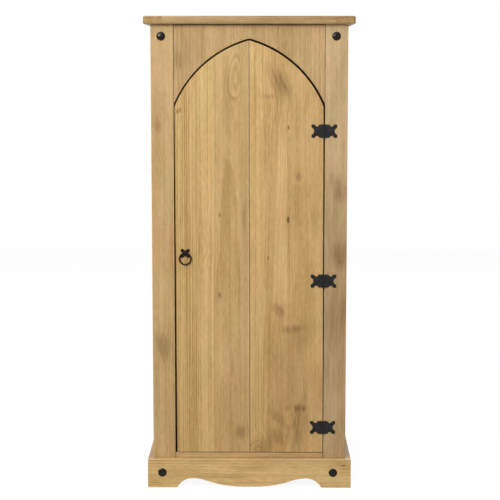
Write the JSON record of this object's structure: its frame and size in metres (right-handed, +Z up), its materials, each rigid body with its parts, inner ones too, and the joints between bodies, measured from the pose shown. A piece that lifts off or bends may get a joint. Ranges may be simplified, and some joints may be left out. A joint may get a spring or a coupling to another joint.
{
  "type": "cupboard",
  "caption": "Tall narrow pine cupboard with a pointed-arch door on butterfly hinges, ring handle, inner shelves and a scrolled plinth.",
  "frame": {"origin": "on the ground, at the middle of the overall width and depth", "axes": "+Z up, +Y to the back, +X to the right seen from the front"},
  "size_m": [0.646, 0.339, 1.466],
  "materials": {
    "waxed_pine": "waxed",
    "black_iron": "hammered black",
    "bright_steel": "zinc plated",
    "catch_shell": "satin"
  },
  "bodies": {
    "carcass": {"back_board_1": "waxed_pine", "back_board_2": "waxed_pine", "back_board_3": "waxed_pine", "back_board_4": "waxed_pine", "bottom_rail": "waxed_pine", "cabinet_floor": "waxed_pine", "catch_body": "catch_shell", "cleat_lower_left": "waxed_pine", "cleat_lower_right": "waxed_pine", "cleat_middle_left": "waxed_pine", "cleat_middle_right": "waxed_pine", "cleat_upper_left": "waxed_pine", "cleat_upper_right": "waxed_pine", "corner_block_back_left": "waxed_pine", "corner_block_back_right": "waxed_pine", "corner_block_front_left": "waxed_pine", "corner_block_front_right": "waxed_pine", "head_panel": "waxed_pine", "hinge_lower_pin": "black_iron", "hinge_lower_stile_leaf": "black_iron", "hinge_middle_pin": "black_iron", "hinge_middle_stile_leaf": "black_iron", "hinge_screws_stile": "black_iron", "hinge_upper_pin": "black_iron", "hinge_upper_stile_leaf": "black_iron", "nail_skirt_left": "black_iron", "nail_skirt_right": "black_iron", "nail_stile_left": "black_iron", "nail_stile_right": "black_iron", "plinth_back_rail": "waxed_pine", "plinth_front_skirt": "waxed_pine", "plinth_side_skirt_left": "waxed_pine", "plinth_side_skirt_right": "waxed_pine", "shelf_lower": "waxed_pine", "shelf_middle": "waxed_pine", "shelf_upper": "waxed_pine", "side_panel_left": "waxed_pine", "side_panel_right": "waxed_pine", "stile_left": "waxed_pine", "stile_right": "waxed_pine", "top_batten": "waxed_pine", "top_board": "waxed_pine", "top_end_cap_left": "waxed_pine", "top_end_cap_right": "waxed_pine"},
    "door": {"catch_strike": "bright_steel", "door_board_left": "waxed_pine", "door_board_right": "waxed_pine", "door_ledge_lower": "waxed_pine", "door_ledge_middle": "waxed_pine", "door_ledge_upper": "waxed_pine", "hinge_lower_door_leaf": "black_iron", "hinge_middle_door_leaf": "black_iron", "hinge_screws_door": "black_iron", "hinge_upper_door_leaf": "black_iron", "ledge_screws": "bright_steel", "ring_plate": "black_iron", "ring_staple": "black_iron"},
    "ring": {"ring_pull": "black_iron"}
  },
  "joints": [
    {"name": "door_hinge", "type": "hinge", "parent": "carcass", "child": "door", "pos_m": [0.2299, -0.1463, 0.65], "axis": [0, 0, 1], "range_deg": [0, 170]},
    {"name": "ring_swing", "type": "hinge", "parent": "door", "child": "ring", "pos_m": [-0.1985, -0.14705, 0.7403], "axis": [-1, 0, 0], "range_deg": [0, 120]}
  ]
}
